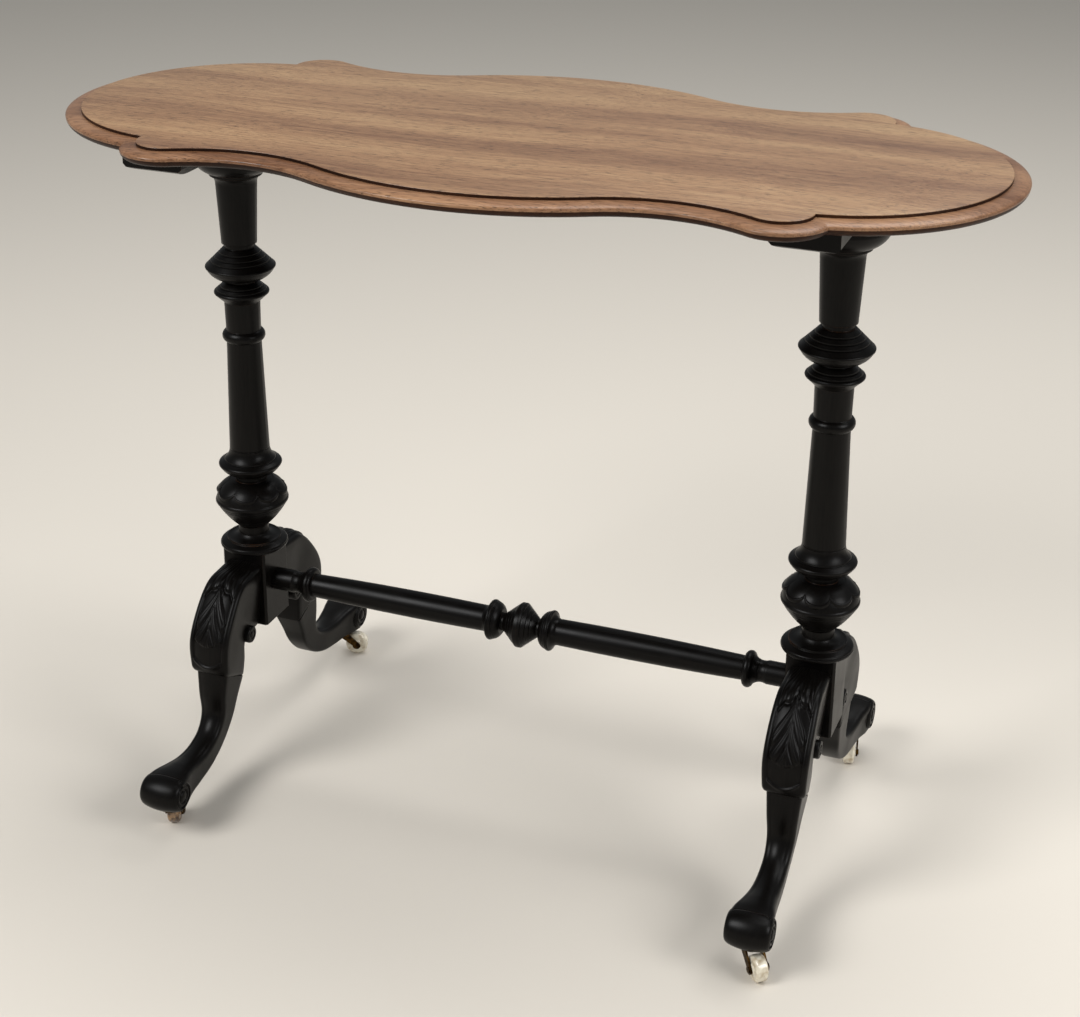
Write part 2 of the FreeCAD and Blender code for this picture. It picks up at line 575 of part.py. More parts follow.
def make_leg():
    face = BLOCK_DEPTH / 2
    root_thickness = BLOCK_HEIGHT - LEG_ROOT_DROP
    root = (face, BLOCK_BOTTOM + root_thickness / 2, 0.0, root_thickness, LEG_ROOT_WIDTH)
    knee_rows = [root]
    for out, down, heading, thickness, width in KNEE_SECTIONS:
        knee_rows.append((face + out, BLOCK_TOP - down, heading, thickness, width))
    reach, height, heading, thickness, width = knee_rows[-1]
    inset = (LIP_OVERHANG - LIP_BACK_STEP) / 2
    angle = math.radians(heading)
    under_lip = (reach + inset * math.sin(angle), height - inset * math.cos(angle), heading,
                 thickness - LIP_OVERHANG - LIP_BACK_STEP, width - 2 * LIP_SIDE_STEP)
    shin_rows = [under_lip]
    for back, up, heading, thickness, width in SHIN_SECTIONS:
        shin_rows.append((FOOT_REACH - back, FOOT_HEIGHT + up, heading, thickness, width))
    knee = Part.makeLoft([leg_section(*row, KNEE_BACK_NARROWING) for row in knee_rows], True, False)
    shin = Part.makeLoft([leg_section(*row, SHIN_BACK_NARROWING) for row in shin_rows], True, False)
    roll = moved(rotated(scroll_roll(), 90, Y_AXIS), 0, FOOT_REACH, FOOT_HEIGHT)
    pad = cylinder(PLATE_RADIUS, CASTOR_HEIGHT, FOOT_HEIGHT, 0, CASTOR_REACH)
    ear_start = point(-EAR_SCROLL_WIDTH / 2, face + EAR_SCROLL_OUT, BLOCK_BOTTOM + EAR_SCROLL_RISE)
    ear = Part.makeCylinder(EAR_SCROLL_RADIUS, EAR_SCROLL_WIDTH, ear_start, X_AXIS)
    leg = knee.fuse([shin, roll, pad, ear]).removeSplitter()
    below = Part.makeBox(2 * ROLL_WIDTH, FOOT_REACH, CASTOR_HEIGHT, point(-ROLL_WIDTH, FOOT_REACH / 2, 0))
    leg = leg.cut(below)
    for dowel_height in dowel_heights():
        leg = leg.cut(moved(dowel(SOCKET_CLEARANCE), 0, 0, dowel_height))
    for screw in plate_screws(FIT_CLEARANCE):
        leg = leg.cut(moved(screw, 0, CASTOR_REACH, 0))
    return leg


def make_leg_dowels():
    dowels = []
    for _, end in ENDS:
        for turn in (0, 180):
            for height in dowel_heights():
                dowels.append(moved(rotated(dowel(0.0), turn, Z_AXIS), end * COLUMN_X, 0, height))
    return Part.makeCompound(dowels)


# Castors, made about the pivot's axis with the wheel trailing along +X
def plate_screws(extra):
    """The screws of one castor plate, or their holes when something is added to their radii."""
    screw = Outline(PLATE_SCREW_HEAD_RADIUS + extra, PLATE_UNDERSIDE)
    screw.line(PLATE_SCREW_RADIUS + extra, PLATE_SCREW_HEAD_HEIGHT)
    screw.line(PLATE_SCREW_RADIUS + extra, PLATE_SCREW_LENGTH - PLATE_SCREW_HEAD_HEIGHT + extra)
    first = moved(screw.solid(), PLATE_SCREW_CIRCLE, 0, 0)
    return [rotated(first, 360 * turn / PLATE_SCREW_COUNT, Z_AXIS) for turn in range(PLATE_SCREW_COUNT)]


def make_castor_plate():
    head_top = HORN_UNDERSIDE - TURNING_CLEARANCE
    plate = Outline(PIVOT_HEAD_RADIUS, head_top - PIVOT_HEAD_HEIGHT)
    plate.line(PIVOT_HEAD_RADIUS, PIVOT_HEAD_HEIGHT)
    plate.line(PIVOT_RADIUS)
    plate.line(PIVOT_RADIUS, PLATE_UNDERSIDE - head_top)
    plate.line(PLATE_RADIUS)
    plate.line(PLATE_RADIUS, PLATE_THICKNESS)
    solid = plate.solid()
    for hole in plate_screws(FIT_CLEARANCE):
        solid = solid.cut(hole)
    return solid


def make_castor_fork():
    """The horn round the pivot, a bridge as wide as the fork, and a cheek down each side to the axle."""
    horn = cylinder(HORN_RADIUS, HORN_UNDERSIDE, HORN_TOP)
    bridge = Part.makeBox(CHEEK_BACK + HORN_BRIDGE, 2 * CHEEK_OUTSIDE, HORN_THICKNESS,
                          point(-CHEEK_BACK, -CHEEK_OUTSIDE, HORN_UNDERSIDE))
    start = point(-CHEEK_BACK, CHEEK_INSIDE, HORN_TOP)
    shoulder = point(HORN_BRIDGE, CHEEK_INSIDE, HORN_TOP)
    boss_back = point(CASTOR_TRAIL + AXLE_BOSS_RADIUS, CHEEK_INSIDE, WHEEL_RADIUS)
    boss_bottom = point(CASTOR_TRAIL, CHEEK_INSIDE, WHEEL_RADIUS - AXLE_BOSS_RADIUS)
    boss_front = point(CASTOR_TRAIL - AXLE_BOSS_RADIUS, CHEEK_INSIDE, WHEEL_RADIUS)
    throat = point(-CHEEK_BACK, CHEEK_INSIDE, HORN_UNDERSIDE)
    edges = [Part.makeLine(start, shoulder), Part.makeLine(shoulder, boss_back),
             arc(boss_back, boss_bottom, boss_front), Part.makeLine(boss_front, throat),
             Part.makeLine(throat, start)]
    cheek = Part.Face(Part.Wire(edges)).extrude(Y_AXIS * CHEEK_THICKNESS)
    other_cheek = cheek.mirror(point(0, 0, 0), Y_AXIS)
    fork = horn.fuse([bridge, cheek, other_cheek]).removeSplitter()
    fork = fork.cut(cylinder(PIVOT_RADIUS + FIT_CLEARANCE, HORN_UNDERSIDE, HORN_TOP))
    axle_hole = Part.makeCylinder(AXLE_RADIUS + FIT_CLEARANCE, 2 * CHEEK_OUTSIDE,
                                  point(CASTOR_TRAIL, -CHEEK_OUTSIDE, WHEEL_RADIUS), Y_AXIS)
    return fork.cut(axle_hole)


def on_axle(solid):
    """Lays a turning made about Z along the axle."""
    return moved(rotated(solid, 90, X_AXIS), CASTOR_TRAIL, 0, WHEEL_RADIUS)


def make_castor_wheel():
    half = WHEEL_WIDTH / 2
    wheel = Outline(WHEEL_HUB_RADIUS, -half)
    wheel.line(WHEEL_HUB_RADIUS + WHEEL_DISH, WHEEL_DISH)
    wheel.line(WHEEL_RADIUS - WHEEL_EDGE)
    wheel.curve(WHEEL_RADIUS, WHEEL_EDGE - WHEEL_DISH, ROUND)
    wheel.line(WHEEL_RADIUS, WHEEL_WIDTH - 2 * WHEEL_EDGE)
    wheel.curve(WHEEL_RADIUS - WHEEL_EDGE, WHEEL_EDGE - WHEEL_DISH, ROUND)
    wheel.line(WHEEL_HUB_RADIUS + WHEEL_DISH)
    wheel.line(WHEEL_HUB_RADIUS, WHEEL_DISH)
    return on_axle(wheel.solid().cut(cylinder(AXLE_RADIUS + FIT_CLEARANCE, -half, half)))


def make_castor_axle():
    axle = Outline(AXLE_HEAD_RADIUS, -CHEEK_OUTSIDE - AXLE_HEAD_HEIGHT)
    axle.line(AXLE_HEAD_RADIUS, AXLE_HEAD_HEIGHT)
    axle.line(AXLE_RADIUS)
    axle.line(AXLE_RADIUS, 2 * CHEEK_OUTSIDE)
    axle.line(AXLE_HEAD_RADIUS)
    axle.line(AXLE_HEAD_RADIUS, AXLE_HEAD_HEIGHT)
    return on_axle(axle.solid())


# The whole table, piece by piece
os.makedirs("parts", exist_ok=True)
save("table_top", make_top())
save("bearer_screws", make_bearer_screws())
save("stretcher", make_stretcher())
save("leg_dowels", make_leg_dowels())

column = make_column()
leg = make_leg()
castor = {"fork": make_castor_fork(), "wheel": make_castor_wheel(), "axle": make_castor_axle()}
plate = make_castor_plate()
all_plate_screws = []
for end_name, end in ENDS:
    save("bearer_" + end_name, make_bearer(end * COLUMN_X))
    save("column_" + end_name, moved(column, end * COLUMN_X, 0, 0))
    save("pedestal_block_" + end_name, make_block(end))
    for side_name, side in SIDES:
        corner_name = side_name + "_" + end_name
        leg_turn = 0 if side > 0 else 180
        save("leg_" + corner_name, moved(rotated(leg, leg_turn, Z_AXIS), end * COLUMN_X, 0, 0))
        foot_x = end * COLUMN_X
        foot_y = side * CASTOR_REACH
        save("castor_plate_" + corner_name, moved(rotated(plate, leg_turn, Z_AXIS), foot_x, foot_y, 0))
        for screw in plate_screws(0.0):
            all_plate_screws.append(moved(rotated(screw, leg_turn, Z_AXIS), foot_x, foot_y, 0))
        for piece_name, piece in castor.items():
            turned_piece = rotated(piece, CASTOR_HEADINGS[corner_name], Z_AXIS)
            save("castor_" + piece_name + "_" + corner_name, moved(turned_piece, foot_x, foot_y, 0))
save("castor_screws", Part.makeCompound(all_plate_screws))
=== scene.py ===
import math

import bpy
import numpy as np
from mathutils import Matrix, Vector


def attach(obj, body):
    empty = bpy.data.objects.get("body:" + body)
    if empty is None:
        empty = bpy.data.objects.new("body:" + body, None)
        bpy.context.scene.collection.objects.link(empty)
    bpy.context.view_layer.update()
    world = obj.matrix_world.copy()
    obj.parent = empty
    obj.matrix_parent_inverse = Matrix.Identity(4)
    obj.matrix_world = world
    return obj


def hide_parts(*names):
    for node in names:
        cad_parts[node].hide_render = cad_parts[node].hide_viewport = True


# A Victorian centre table: a shaped walnut top on an ebonised base with carved legs and brass castors.
# Sizes are in millimetres and become metres where a mesh is made. Heights are above the floor.
MM = 0.001
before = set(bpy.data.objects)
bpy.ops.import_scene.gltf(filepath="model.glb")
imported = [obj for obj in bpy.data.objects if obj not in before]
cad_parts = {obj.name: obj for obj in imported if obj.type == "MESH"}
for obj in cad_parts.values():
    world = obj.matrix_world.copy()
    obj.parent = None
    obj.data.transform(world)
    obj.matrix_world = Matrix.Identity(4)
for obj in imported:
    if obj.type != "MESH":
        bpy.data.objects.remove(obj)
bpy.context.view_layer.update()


# Walnut top
# One wide, thin board of straight-grained walnut, sawn to an outline of arcs and screwed down to the bearers
# from below. Its edge is worked with planes: a small square step round the flat, a flat thumb, and a round
# nose under it. The step's wall, the nose and the underside are painted dark: painted shade under the edge,
# with some old polish and dirt in the step.
TABLE_HEIGHT = 703.0
TOP_THICKNESS = 15.0
END_CENTRE = np.array((288.0, 0.0))
END_RADIUS = 166.0
END_POINTS = 72
EAR_CENTRE = np.array((280.0, 153.0))
EAR_RADIUS = 43.0
EAR_POINTS = 28
WAIST_RADIUS = 136.0
WAIST_POINTS = 32
BELLY_CENTRE = np.array((0.0, -59.0))
BELLY_RADIUS = 280.0
BELLY_POINTS = 48
STEP_DEPTH = 3.2
STEP_ROUND = 0.7
STEP_RINGS = 4
THUMB_WIDTH = 15.0
THUMB_RINGS = 15
NOSE_RADIUS = 8.0
NOSE_RINGS = 7


def crossing(first, first_radius, second, second_radius):
    """Where two circles cross, on the right of the way from the first centre to the second."""
    apart = np.linalg.norm(second - first)
    unit = (second - first) / apart
    along = (apart ** 2 + first_radius ** 2 - second_radius ** 2) / (2 * apart)
    aside = math.sqrt(first_radius ** 2 - along ** 2)
    return first + along * unit + aside * np.array((unit[1], -unit[0]))


def arc(centre, start, end, count):
    """Points of an arc from start, the short way round the centre, up to but without its end."""
    from_angle = math.atan2(*(start - centre)[::-1])
    to_angle = math.atan2(*(end - centre)[::-1])
    turn = (to_angle - from_angle + math.pi) % math.tau - math.pi
    angles = from_angle + turn * np.arange(count) / count
    return centre + np.linalg.norm(start - centre) * np.column_stack((np.cos(angles), np.sin(angles)))


def top_outline(inset):
    """The outline moved inwards: an end, ear, hollow waist and belly, and from there the same again."""
    waist_centre = crossing(EAR_CENTRE, EAR_RADIUS + WAIST_RADIUS, BELLY_CENTRE, BELLY_RADIUS + WAIST_RADIUS)
    to_ear = (waist_centre - EAR_CENTRE) / np.linalg.norm(waist_centre - EAR_CENTRE)
    to_belly = (waist_centre - BELLY_CENTRE) / np.linalg.norm(waist_centre - BELLY_CENTRE)
    notch = crossing(END_CENTRE, END_RADIUS - inset, EAR_CENTRE, EAR_RADIUS - inset)
    ear_join = EAR_CENTRE + to_ear * (EAR_RADIUS - inset)
    belly_join = BELLY_CENTRE + to_belly * (BELLY_RADIUS - inset)
    flip = np.array((-1.0, 1.0))
    half = np.concatenate((
        arc(END_CENTRE, notch * (1, -1), notch, END_POINTS),
        arc(EAR_CENTRE, notch, ear_join, EAR_POINTS),
        arc(waist_centre, ear_join, belly_join, WAIST_POINTS),
        arc(BELLY_CENTRE, belly_join, belly_join * flip, BELLY_POINTS),
        arc(waist_centre * flip, belly_join * flip, ear_join * flip, WAIST_POINTS),
        arc(EAR_CENTRE * flip, ear_join * flip, notch * flip, EAR_POINTS),
    ))
    return np.concatenate((half, -half))


def add_mesh(name, points, faces, materials, faces_material=None, sharp_angle=35.0):
    """A smooth-shaded mesh object from points in millimetres, creased where faces meet at a sharp angle."""
    mesh = bpy.data.meshes.new(name)
    mesh.from_pydata([tuple(p) for p in np.asarray(points) * MM], [], faces)
    for material in materials:
        mesh.materials.append(material)
    if faces_material is not None:
        mesh.polygons.foreach_set("material_index", faces_material)
    mesh.shade_smooth()
    mesh.set_sharp_from_angle(angle=math.radians(sharp_angle))
    made = bpy.data.objects.new(name, mesh)
    bpy.context.scene.collection.objects.link(made)
    return made


def grid_faces(rows, columns):
    """Quads between neighbouring rows of points, joined round from the last column to the first."""
    faces = []
    for row in range(rows - 1):
        for column in range(columns):
            beside = (column + 1) % columns
            low = row * columns
            high = low + columns
            faces.append((low + column, low + beside, high + beside, high + column))
    return faces


def linear(colour):
    """An sRGB hex colour as linear red, green, blue and alpha."""
    parts = [int(colour[place:place + 2], 16) / 255 for place in (1, 3, 5)]
    return [c / 12.92 if c <= 0.04045 else ((c + 0.055) / 1.055) ** 2.4 for c in parts] + [1.0]


def add_node(tree, kind, inputs=None, stops=None, **settings):
    """Adds a shader node with its settings, its colour stops, and its inputs as values or as links."""
    made = tree.nodes.new("ShaderNode" + kind)
    for name, value in settings.items():
        setattr(made, name, value)
    for name, value in (inputs or {}).items():
        if isinstance(value, bpy.types.NodeSocket):
            tree.links.new(value, made.inputs[name])
        else:
            made.inputs[name].default_value = value
    if stops:
        elements = made.color_ramp.elements
        while len(elements) < len(stops):
            elements.new(1.0)
        for element, (place, colour) in zip(elements, stops):
            element.position = place
            element.color = linear(colour)
    return made


def new_material(name):
    """An empty node material and its tree."""
    material = bpy.data.materials.new(name)
    material.use_nodes = True
    material.node_tree.nodes.clear()
    return material, material.node_tree


def set_surface(tree, inputs):
    """Ends a material's tree with its one surface."""
    surface = add_node(tree, "BsdfPrincipled", inputs)
    add_node(tree, "OutputMaterial", {"Surface": surface.outputs[0]})


def walnut(name, dark, middle, light, roughness, sheen=0.5):
    """Waxed walnut with its grain along X: broad soft bands, fine fibre streaks and short dark pores.
    The bands give the board its figure, the pores break up the sheen when light rakes along the top.
    The grain wanders sideways in about three waves to the metre."""
    wander = 50.0 * MM
    pore_depth = 0.1 * MM
    material, tree = new_material(name)
    place = add_node(tree, "TexCoord").outputs["Object"]
    sway = add_node(tree, "TexNoise", {"Vector": place, "Scale": 3.0, "Detail": 2.0}).outputs["Color"]
    reach = (0.0, wander, wander)
    swayed = add_node(tree, "VectorMath", {0: sway, 1: reach}, operation="MULTIPLY").outputs[0]
    grain = add_node(tree, "VectorMath", {0: place, 1: swayed}, operation="ADD").outputs[0]

    def streaks(length, width, detail):
        """Noise drawn out along the grain, for streaks of about that length and width in millimetres."""
        scale = (1 / (length * MM), 1 / (width * MM), 1 / (width * MM))
        drawn = add_node(tree, "VectorMath", {0: grain, 1: scale}, operation="MULTIPLY").outputs[0]
        noise = add_node(tree, "TexNoise", {"Vector": drawn, "Scale": 1.0, "Detail": detail})
        return noise.outputs[0]

    bands = streaks(900.0, 55.0, 3.0)
    fibre = streaks(110.0, 2.2, 3.0)
    pores = streaks(14.0, 0.7, 1.0)
    figure = add_node(tree, "Math", {0: bands, 1: 0.6}, operation="MULTIPLY").outputs[0]
    figure = add_node(tree, "Math", {0: fibre, 1: 0.4, 2: figure}, operation="MULTIPLY_ADD").outputs[0]
    tone = add_node(tree, "ValToRGB", {"Fac": figure}, [(0.34, dark), (0.5, middle), (0.66, light)])
    pore_mask = add_node(tree, "ValToRGB", {"Fac": pores}, [(0.30, "#8a8a8a"), (0.42, "#ffffff")])
    colour = add_node(tree, "Mix", {"Factor": 1.0, 6: tone.outputs["Color"], 7: pore_mask.outputs["Color"]},
                      data_type="RGBA", blend_type="MULTIPLY").outputs[2]
    dull = add_node(tree, "MapRange", {"Value": fibre, "To Min": roughness - 0.06,
                                       "To Max": roughness + 0.08}).outputs[0]
    bump = add_node(tree, "Bump", {"Height": pore_mask.outputs["Color"], "Strength": 0.25,
                                   "Distance": pore_depth}).outputs[0]
    set_surface(tree, {"Base Color": colour, "Roughness": dull, "Normal": bump, "Specular IOR Level": sheen})
    return material


def make_top():
    """The board in rings of points from the edge of its flat, over step, thumb and nose, to its underside."""
    thumb_drop = TOP_THICKNESS - STEP_DEPTH - NOSE_RADIUS
    rings = []
    for angle in np.linspace(0, math.pi / 2, STEP_RINGS):
        inset = THUMB_WIDTH + STEP_ROUND * (1 - math.sin(angle))
        rings.append((inset, -STEP_ROUND * (1 - math.cos(angle))))
    for angle in np.linspace(0, math.pi / 2, THUMB_RINGS):
        inset = THUMB_WIDTH * (1 - math.sin(angle))
        rings.append((inset, -STEP_DEPTH - thumb_drop * (1 - math.cos(angle))))
    for angle in np.linspace(0, math.pi / 2, NOSE_RINGS + 1)[1:]:
        inset = NOSE_RADIUS * (1 - math.cos(angle))
        rings.append((inset, -TOP_THICKNESS + NOSE_RADIUS * (1 - math.sin(angle))))
    points = []
    for inset, height in rings:
        ring = top_outline(inset)
        points.append(np.column_stack((ring, np.full(len(ring), TABLE_HEIGHT + height))))
    count = len(points[0])
    faces = grid_faces(len(rings), count)
    faces.append(tuple(range(count))[::-1])
    faces.append(tuple(range((len(rings) - 1) * count, len(rings) * count)))
    faces = [face[::-1] for face in faces]
    # The step's wall, the nose and the underside get the near-black walnut with little sheen: painted shade
    # under the edge.
    field, thumb, dark = 0, 1, 2
    bands = [field] * (STEP_RINGS - 1) + [dark] + [thumb] * THUMB_RINGS + [dark] * (NOSE_RINGS - 1)
    kinds = [band for band in bands for _ in range(count)] + [field, dark]
    top = add_mesh("walnut_top", np.concatenate(points), faces, [
        walnut("waxed_walnut", "#6c4d37", "#89694c", "#9f805e", 0.42),
        walnut("polished_walnut_thumb", "#60402b", "#825f45", "#9c7757", 0.30, 0.3),
        walnut("painted_shade_walnut_edge", "#1d0d05", "#2b160a", "#3d2312", 0.42, 0.12),
    ], kinds)
    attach(top, "table")
    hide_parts("table_top")


make_top()


# Bearers
# Two lengths of stained wood under the top, one over each column, planed thinner and chamfered towards their
# ends. Steel screws go up through them into the top.
def ebonised(name, grain_axis, lines=(), wear="#4a301d", softening=1.2):
    """Black-stained wood under old shellac: deep, with dim crisp lights and browner wood on worn edges.
    Lines are cut round a turning at these distances along its axis and catch a thread of light. Edges look
    rounded by the softening, in millimetres."""
    fibre_width = 0.9 * MM
    fibre_length = 40.0 * MM
    fibre_depth = 0.1 * MM
    cloud_size = 28.0 * MM
    line_floor = 0.25 * MM
    line_edge = 0.8 * MM
    line_depth = 0.8 * MM
    material, tree = new_material(name)
    place = add_node(tree, "TexCoord").outputs["Object"]
    fibre_scale = [1 / fibre_width] * 3
    fibre_scale[grain_axis] = 1 / fibre_length
    drawn = add_node(tree, "VectorMath", {0: place, 1: fibre_scale}, operation="MULTIPLY").outputs[0]
    fibre = add_node(tree, "TexNoise", {"Vector": drawn, "Scale": 1.0, "Detail": 2.0}).outputs[0]
    cloud = add_node(tree, "TexNoise", {"Vector": place, "Scale": 1 / cloud_size, "Detail": 4.0}).outputs[0]
    rounded = add_node(tree, "Bevel", {"Radius": softening * MM}, samples=6).outputs[0]
    flat = add_node(tree, "NewGeometry").outputs["Normal"]
    same = add_node(tree, "VectorMath", {0: rounded, 1: flat}, operation="DOT_PRODUCT").outputs["Value"]
    edge = add_node(tree, "MapRange", {"Value": same, "From Min": 0.95, "From Max": 0.78}).outputs[0]
    patchy = add_node(tree, "MapRange", {"Value": cloud, "From Min": 0.42, "From Max": 0.66}).outputs[0]
    worn = add_node(tree, "Math", {0: edge, 1: patchy}, operation="MULTIPLY").outputs[0]
    black = add_node(tree, "ValToRGB", {"Fac": fibre}, [(0.3, "#030202"), (0.7, "#0b0907")]).outputs["Color"]
    colour = add_node(tree, "Mix", {"Factor": worn, 6: black, 7: linear(wear)}, data_type="RGBA").outputs[2]
    dull = add_node(tree, "MapRange", {"Value": cloud, "To Min": 0.24, "To Max": 0.46}).outputs[0]
    bump = add_node(tree, "Bump", {"Height": fibre, "Strength": 0.12, "Distance": fibre_depth,
                                   "Normal": rounded}).outputs[0]
    if lines:
        along = add_node(tree, "SeparateXYZ", {0: place}).outputs[grain_axis]
        from_middle = add_node(tree, "Math", {0: along}, operation="ABSOLUTE").outputs[0]
        cuts = 0.0
        for line in lines:
            off = add_node(tree, "Math", {0: from_middle, 1: line * MM}, operation="SUBTRACT").outputs[0]
            off = add_node(tree, "Math", {0: off}, operation="ABSOLUTE").outputs[0]
            cut = add_node(tree, "MapRange", {"Value": off, "From Min": line_floor, "From Max": line_edge,
                                              "To Min": 1.0, "To Max": 0.0}).outputs[0]
            cuts = add_node(tree, "Math", {0: cuts, 1: cut}, operation="MAXIMUM").outputs[0]
        bump = add_node(tree, "Bump", {"Height": cuts, "Distance": line_depth, "Normal": bump},
                        invert=True).outputs[0]
    set_surface(tree, {"Base Color": colour, "Roughness": dull, "Normal": bump, "Specular IOR Level": 0.12})
    return material


def dress(nodes, material):
    """Gives CAD nodes their material and slot."""
    for node in nodes:
        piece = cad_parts[node]
        piece.data.materials.clear()
        piece.data.materials.append(material)


ENDS = ("left", "right")
dress(["bearer_" + end for end in ENDS], ebonised("ebonised_bearer", 1))


# Bearer screws
# Eight countersunk steel screws, driven up through the bearers into the top, their heads flush below.
# Old screws have gone dull and brown.
def metal(name, bright, dark, shine, blotch):
    """Old metal: a dull skin over bright metal, in blotches of the given size in millimetres.
    The bright parts keep a broad soft highlight and the dark ones hardly any."""
    skin_depth = 0.15 * MM
    material, tree = new_material(name)
    place = add_node(tree, "TexCoord").outputs["Object"]
    skin = add_node(tree, "TexNoise", {"Vector": place, "Scale": 1 / (blotch * MM), "Detail": 5.0}).outputs[0]
    colour = add_node(tree, "ValToRGB", {"Fac": skin}, [(0.38, dark), (0.62, bright)]).outputs["Color"]
    dull = add_node(tree, "MapRange", {"Value": skin, "To Min": shine + 0.25,
                                       "To Max": shine - 0.1}).outputs[0]
    bump = add_node(tree, "Bump", {"Height": skin, "Strength": 0.2, "Distance": skin_depth}).outputs[0]
    set_surface(tree, {"Base Color": colour, "Metallic": 1.0, "Roughness": dull, "Normal": bump})
    return material


dress(["bearer_screws"], metal("old_screw_steel", "#8a8580", "#4a3f36", 0.45, 2.5))


# Columns
# Turned in one length each, with a diamond-shaped knop above, plain tapering shafts between beads and a bulb
# near the foot. Fine lines are cut with the point of a chisel while the column still turns in the lathe.
COLUMN_X = 300.0
COLUMN_LINES = (235.5, 258.5, 262.0, 276.5, 279.5, 310.0, 328.5, 341.0,
                511.5, 515.0, 541.5, 545.5, 550.0, 628.0)
dress(["column_" + end for end in ENDS], ebonised("ebonised_column", 2, COLUMN_LINES))


# Petals
# A ring of rounded petals, each with a raised border, is carved round the upper half of each bulb, in the
# column's own wood. The columns were glued in without lining them up, so each ring has its own angle, in
# degrees. Places down a petal are shares of the way from the bulb's top to its rim.
PETAL_COUNT = 8
PETAL_TURN = {"left": -6.0, "right": -15.5}
PETAL_STEPS = 40
PETAL_START = 0.04
PETAL_LAST = 0.97
PETAL_CUSP = 0.50
PETAL_DROP = 0.35
PETAL_RISE = 0.6
PETAL_SWELL = 1.3
PETAL_SINK = 0.8
EDGE_WIDTH = 0.05
BORDER_RISE = 0.8
BORDER_INSET = 0.09
BORDER_WIDTH = 0.035
CROWN_TOP = np.array((21.0, 305.0))
CROWN_RIM = np.array((36.4, 285.5))
CROWN_BULGE = 3.2


def fade(low, high, value):
    """Runs smoothly from 0 at the low value to 1 at the high one."""
    t = np.clip((value - low) / (high - low), 0.0, 1.0)
    return t * t * (3 - 2 * t)


def end_x(name):
    """Where along the table the end stands whose name, or whose corner's name, is given."""
    return -COLUMN_X if name.endswith("left") else COLUMN_X


def make_petals(end, material):
    """A skin over the bulb's crown, proud of it inside the petals and sunk into the column around them."""
    chord = CROWN_RIM - CROWN_TOP
    away = np.array((-chord[1], chord[0])) / np.linalg.norm(chord)
    down = np.linspace(PETAL_START, PETAL_LAST, PETAL_STEPS)[:, None]
    around = PETAL_COUNT * PETAL_STEPS
    angles = (np.arange(around) / around * math.tau)[None, :]
    turned_back = angles - math.radians(PETAL_TURN[end])
    across = np.abs(np.mod(turned_back * PETAL_COUNT / math.tau, 1.0) * 2 - 1)
    edge = PETAL_CUSP + PETAL_DROP * np.sqrt(np.clip(1 - across ** 2, 0.0, 1.0))
    inside = fade(-EDGE_WIDTH / 2, EDGE_WIDTH / 2, edge - down)
    swell = PETAL_RISE + PETAL_SWELL * (1 - across ** 2) * np.clip(down / edge, 0.0, 1.0)
    border = BORDER_RISE * np.exp(-((edge - down - BORDER_INSET) / BORDER_WIDTH) ** 2)
    height = -PETAL_SINK + inside * (PETAL_SINK + swell + border)
    off = CROWN_BULGE * 4 * down * (1 - down) + height
    radius = CROWN_TOP[0] + chord[0] * down + away[0] * off
    level = CROWN_TOP[1] + chord[1] * down + away[1] * off
    points = np.stack((end_x(end) + radius * np.cos(angles), radius * np.sin(angles), level), axis=-1)
    faces = [face[::-1] for face in grid_faces(PETAL_STEPS, around)]
    petals = add_mesh("carved_petals_" + end, points.reshape(-1, 3), faces, [material], sharp_angle=60.0)
    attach(petals, "table")


petal_black = ebonised("ebonised_petals", 2, softening=0.4)
for end in ENDS:
    make_petals(end, petal_black)


# Blocks
# A square block under each column takes the column's tenon from above, the stretcher's from the side and the
# dowels of two legs. Its corners are taken off with a plane.
dress(["pedestal_block_" + end for end in ENDS], ebonised("ebonised_block", 2))


# Carved legs
# Each cabriole leg is sawn from a thick plank, dowelled to its block, shaped with rasps and carved in front:
# a leaf turned over at the top, a spray of leaflets on the knee and a raised lip where the plain shin begins.
# Rows give a section's place out from the column's axis, its height, heading, thickness and width.
KNEE_ROWS = (
    (25.0, 185.75, 0.0, 71.5, 40.0),
    (41.0, 184.8, -2.0, 71.0, 41.0),
    (58.0, 183.5, -10.0, 68.5, 42.0),
    (75.5, 168.0, -33.0, 60.0, 44.0),
    (84.0, 148.0, -50.0, 62.0, 44.0),
    (86.2, 120.6, -63.0, 53.0, 41.0),
)
KNEE_SECTIONS = 230
KNEE_FRONT_POINTS = 81
KNEE_NARROWING = 5.5
SHIN_ROWS = (
    (84.15, 119.55, -63.0, 47.6, 34.0),
    (90.6, 97.4, -65.0, 39.0, 30.0),
    (95.1, 78.5, -60.0, 31.0, 27.0),
    (108.5, 62.0, -43.0, 27.5, 25.0),
    (129.0, 51.5, -20.0, 27.5, 25.5),
    (156.0, 47.5, -3.0, 29.5, 28.0),
    (177.0, 48.3, 0.0, 33.0, 33.0),
    (190.0, 48.2, 0.0, 36.0, 38.5),
    (203.0, 48.0, 0.0, 37.1, 41.5),
)
SHIN_SECTIONS = 90
SHIN_FRONT_POINTS = 21
SHIN_NARROWING = 2.0
FRONT_CROWN = 2.0
FRONT_ROUND = 5.0
BACK_ROUND = 3.0
PANEL_DEPTH = 2.2
GROUND_EDGE = 0.3
GROUND_SWELL = 1.2
LEAF_END = 40.0
LEAF_FLARE = 14.0
LEAF_ROLL = 9.0
LEAF_BODY = 1.2
LEAF_RISE = 2.2
LEAF_VEIN = 5.5
LEAF_VEIN_RISE = 0.5
LOBE_LENGTH = 4.0
LOBE_SHARE = 0.65
LOBE_RISE = 0.7
RIB_HALF = 4.2
RIB_TAPER = 2.4
RIB_RISE = 1.7
RIB_GROOVE = 0.7
LEAFLET = 21.0
LEAFLET_START = 43.0
LEAFLET_SWEEP = 38.0
LEAFLET_EDGE = 0.2
LEAFLET_RISE = 2.3
